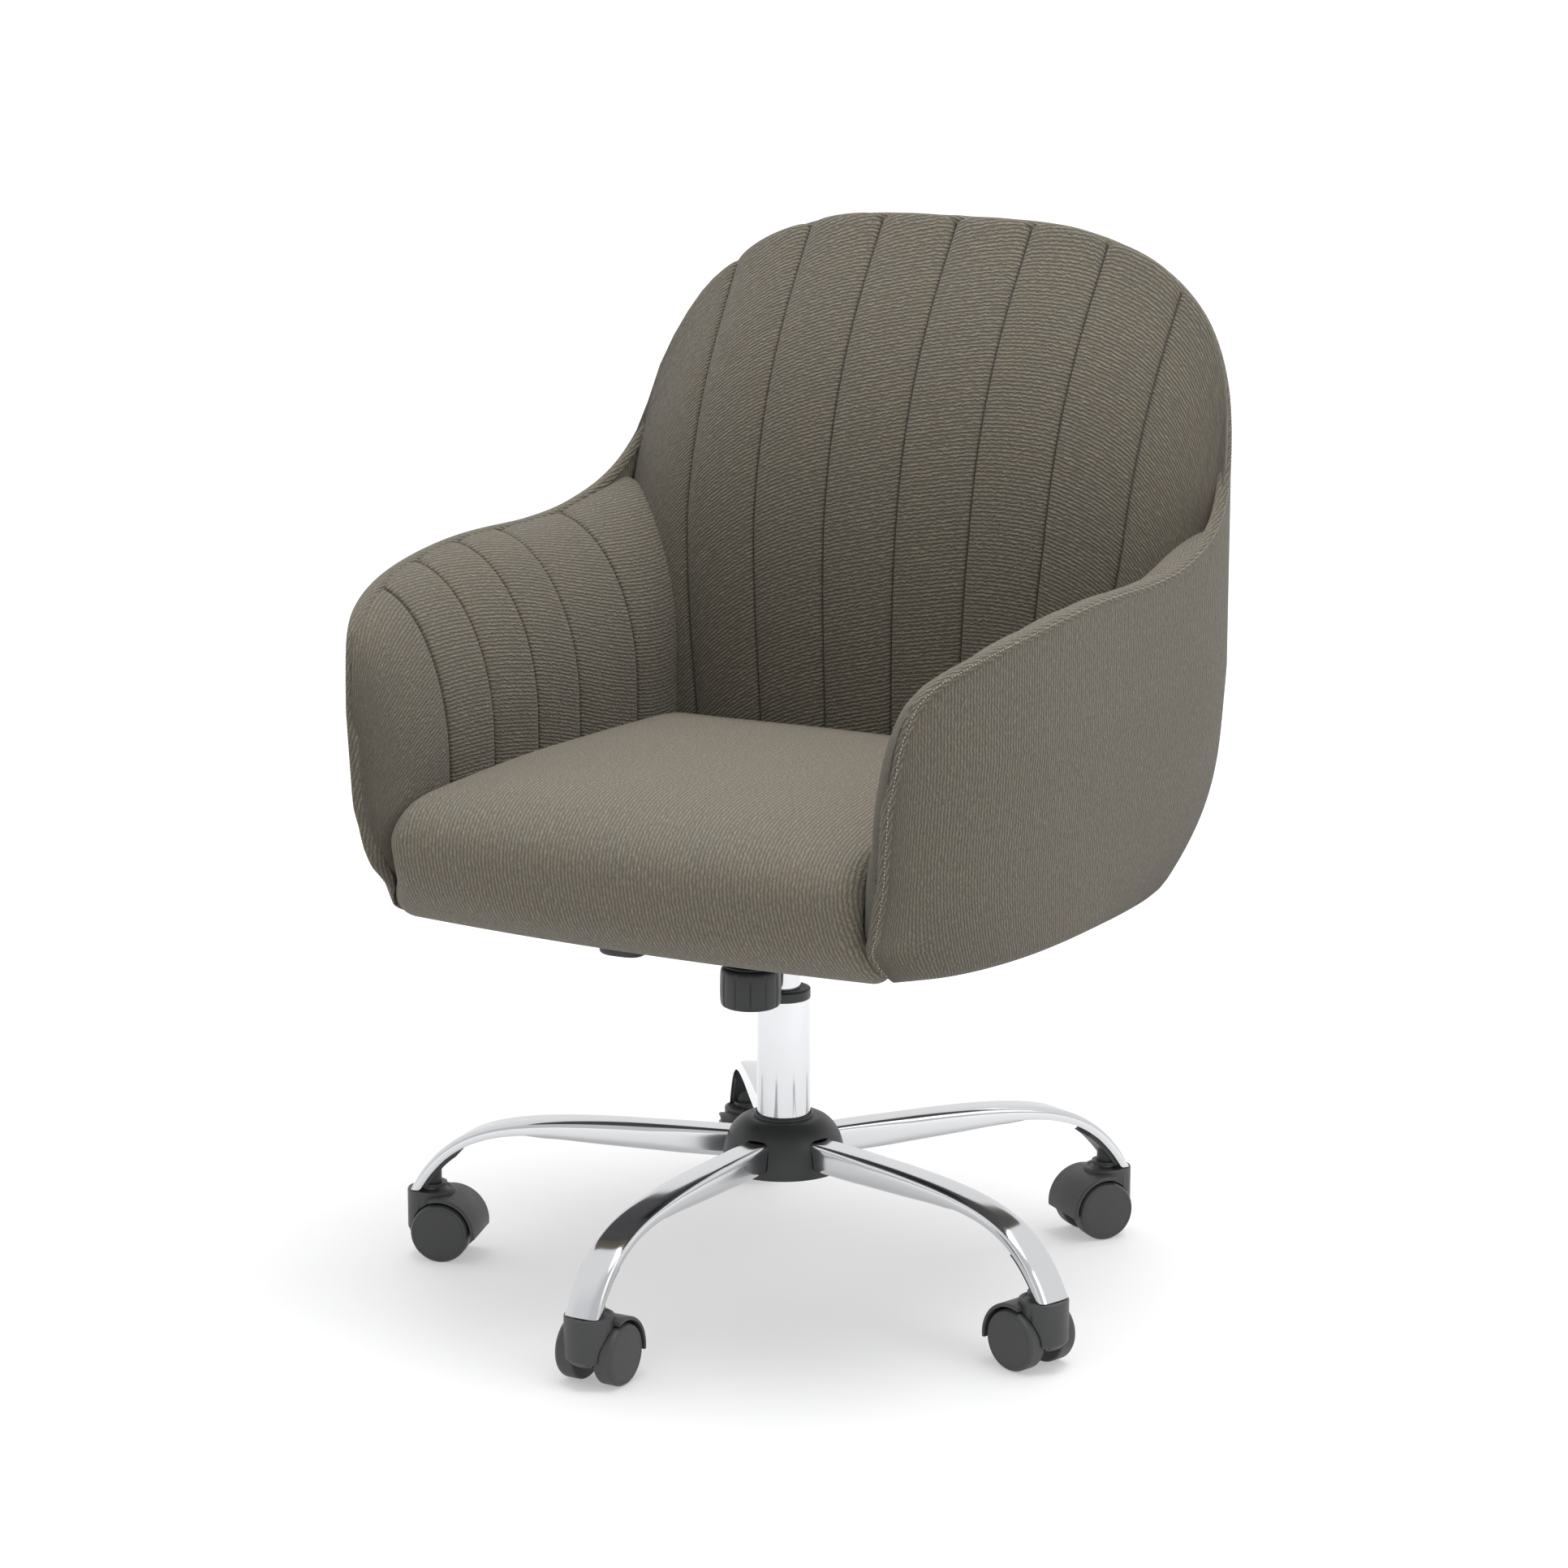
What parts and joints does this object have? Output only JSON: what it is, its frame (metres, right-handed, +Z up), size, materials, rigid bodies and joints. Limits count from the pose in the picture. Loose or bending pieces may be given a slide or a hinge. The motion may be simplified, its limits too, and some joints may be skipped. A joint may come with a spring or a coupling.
{
  "type": "swivel office chair",
  "caption": "Upholstered bucket-seat swivel chair with channelled back and arms, gas-lift column, tilt mechanism and a chromed base on twin-wheel casters.",
  "frame": {"origin": "on the floor, on the axis of the column", "axes": "+Z up; -Y is the front of the chair, where the sitter's knees are; +X is the sitter's left"},
  "size_m": [0.6164, 0.6257, 0.8552],
  "materials": {
    "upholstery": "taupe woven crepe fabric over moulded foam, matte, fine ribs",
    "chrome": "mirror chrome plate",
    "plastic_black": "satin black moulded plastic",
    "plastic_caster": "satin black nylon with a fine moulded grain",
    "steel": "zinc plated",
    "steel_black": "black powder coat",
    "brass": "plain",
    "plywood": "raw birch plywood",
    "lining": "black spun-bonded lining cloth"
  },
  "bodies": {
    "base": {"base_hub": "steel", "hub_cover": "plastic_black", "base_arm_1": "chrome", "base_arm_2": "chrome", "base_arm_3": "chrome", "base_arm_4": "chrome", "base_arm_5": "chrome", "stem_inserts": "plastic_black", "caster_stems": "steel", "column_tube": "chrome", "column_bushing": "plastic_black", "thrust_bearing": "steel"},
    "column_rod": {"piston_rod": "steel", "retaining_clip": "steel"},
    "mechanism": {"pressure_tube": "chrome", "rod_guide": "plastic_black", "taper_boss": "steel_black", "mech_tray": "steel_black", "tilt_axle": "steel", "tension_spring": "steel_black"},
    "valve": {"valve_pin": "brass"},
    "knob": {"tension_knob": "plastic_black", "tension_bolt": "steel"},
    "nut": {"spring_nut": "steel"},
    "lever_slide": {"lever_slider": "plastic_black", "lever_pin": "steel"},
    "lever": {"lever_rod": "steel_black", "lever_paddle": "plastic_black"},
    "seat": {"mech_plate": "steel_black", "mech_bolts": "steel_black", "board_nuts": "steel", "seat_board": "plywood", "outer_shell": "upholstery", "dust_cover": "lining", "rim_band": "upholstery", "seat_cushion": "upholstery", "back_pad": "upholstery", "arm_pad_left": "upholstery", "arm_pad_right": "upholstery"},
    "caster_1": {"caster_housing_1": "plastic_caster", "caster_axle_1": "steel"},
    "wheel_l1": {"wheel_left_1": "plastic_caster"},
    "wheel_r1": {"wheel_right_1": "plastic_caster"},
    "caster_2": {"caster_housing_2": "plastic_caster", "caster_axle_2": "steel"},
    "wheel_l2": {"wheel_left_2": "plastic_caster"},
    "wheel_r2": {"wheel_right_2": "plastic_caster"},
    "caster_3": {"caster_housing_3": "plastic_caster", "caster_axle_3": "steel"},
    "wheel_l3": {"wheel_left_3": "plastic_caster"},
    "wheel_r3": {"wheel_right_3": "plastic_caster"},
    "caster_4": {"caster_housing_4": "plastic_caster", "caster_axle_4": "steel"},
    "wheel_l4": {"wheel_left_4": "plastic_caster"},
    "wheel_r4": {"wheel_right_4": "plastic_caster"},
    "caster_5": {"caster_housing_5": "plastic_caster", "caster_axle_5": "steel"},
    "wheel_l5": {"wheel_left_5": "plastic_caster"},
    "wheel_r5": {"wheel_right_5": "plastic_caster"}
  },
  "joints": [
    {"name": "column_swivel", "type": "hinge", "parent": "base", "child": "column_rod", "pos_m": [0, 0, 0.1], "axis": [0, 0, 1], "continuous": true},
    {"name": "seat_height", "type": "slide", "parent": "column_rod", "child": "mechanism", "axis": [0, 0, 1], "range_m": [0, 0.1]},
    {"name": "seat_tilt", "type": "hinge", "parent": "mechanism", "child": "seat", "pos_m": [0, 0.03, 0.304], "axis": [-1, 0, 0], "range_deg": [0, 10], "stiffness_Nm_per_rad": 120, "springref_deg": -20.05, "deforming": ["tension_spring"]},
    {"name": "knob_turn", "type": "hinge", "parent": "mechanism", "child": "knob", "pos_m": [0, -0.054, 0.26], "axis": [0, 0, 1], "range_deg": [0, 1080]},
    {"name": "nut_travel", "type": "slide", "parent": "mechanism", "child": "nut", "axis": [0, 0, -1], "range_m": [0, 0.006]},
    {"name": "lever_lock", "type": "slide", "parent": "mechanism", "child": "lever_slide", "axis": [-1, 0, 0], "range_m": [0, 0.008]},
    {"name": "lever_lift", "type": "hinge", "parent": "lever_slide", "child": "lever", "pos_m": [-0.046, 0, 0.314], "axis": [0, 1, 0], "range_deg": [0, 5], "stiffness_Nm_per_rad": 0.6, "springref_deg": -17.19},
    {"name": "valve_press", "type": "slide", "parent": "mechanism", "child": "valve", "axis": [0, 0, -1], "range_m": [0, 0.004]},
    {"name": "caster_1_swivel", "type": "hinge", "parent": "base", "child": "caster_1", "pos_m": [0, -0.303, 0.05], "axis": [0, 0, 1], "continuous": true},
    {"name": "caster_1_left_wheel", "type": "hinge", "parent": "caster_1", "child": "wheel_l1", "pos_m": [0, -0.29, 0.025], "axis": [1, 0, 0], "continuous": true},
    {"name": "caster_1_right_wheel", "type": "hinge", "parent": "caster_1", "child": "wheel_r1", "pos_m": [0, -0.29, 0.025], "axis": [1, 0, 0], "continuous": true},
    {"name": "caster_2_swivel", "type": "hinge", "parent": "base", "child": "caster_2", "pos_m": [0.28817, -0.09363, 0.05], "axis": [0, 0, 1], "continuous": true},
    {"name": "caster_2_left_wheel", "type": "hinge", "parent": "caster_2", "child": "wheel_l2", "pos_m": [0.27581, -0.08962, 0.025], "axis": [0.309, 0.9511, 0], "continuous": true},
    {"name": "caster_2_right_wheel", "type": "hinge", "parent": "caster_2", "child": "wheel_r2", "pos_m": [0.27581, -0.08962, 0.025], "axis": [0.309, 0.9511, 0], "continuous": true},
    {"name": "caster_3_swivel", "type": "hinge", "parent": "base", "child": "caster_3", "pos_m": [0.1781, 0.24513, 0.05], "axis": [0, 0, 1], "continuous": true},
    {"name": "caster_3_left_wheel", "type": "hinge", "parent": "caster_3", "child": "wheel_l3", "pos_m": [0.17046, 0.23461, 0.025], "axis": [-0.809, 0.5878, 0], "continuous": true},
    {"name": "caster_3_right_wheel", "type": "hinge", "parent": "caster_3", "child": "wheel_r3", "pos_m": [0.17046, 0.23461, 0.025], "axis": [-0.809, 0.5878, 0], "continuous": true},
    {"name": "caster_4_swivel", "type": "hinge", "parent": "base", "child": "caster_4", "pos_m": [-0.1781, 0.24513, 0.05], "axis": [0, 0, 1], "continuous": true},
    {"name": "caster_4_left_wheel", "type": "hinge", "parent": "caster_4", "child": "wheel_l4", "pos_m": [-0.17046, 0.23461, 0.025], "axis": [-0.809, -0.5878, 0], "continuous": true},
    {"name": "caster_4_right_wheel", "type": "hinge", "parent": "caster_4", "child": "wheel_r4", "pos_m": [-0.17046, 0.23461, 0.025], "axis": [-0.809, -0.5878, 0], "continuous": true},
    {"name": "caster_5_swivel", "type": "hinge", "parent": "base", "child": "caster_5", "pos_m": [-0.28817, -0.09363, 0.05], "axis": [0, 0, 1], "continuous": true},
    {"name": "caster_5_left_wheel", "type": "hinge", "parent": "caster_5", "child": "wheel_l5", "pos_m": [-0.27581, -0.08962, 0.025], "axis": [0.309, -0.9511, 0], "continuous": true},
    {"name": "caster_5_right_wheel", "type": "hinge", "parent": "caster_5", "child": "wheel_r5", "pos_m": [-0.27581, -0.08962, 0.025], "axis": [0.309, -0.9511, 0], "continuous": true}
  ],
  "couplings": [
    {"joint": "nut_travel", "follows": "knob_turn", "m_per_rad": 0.00031831},
    {"joint": "valve_press", "follows": "lever_lift", "m_per_rad": 0.045378}
  ]
}
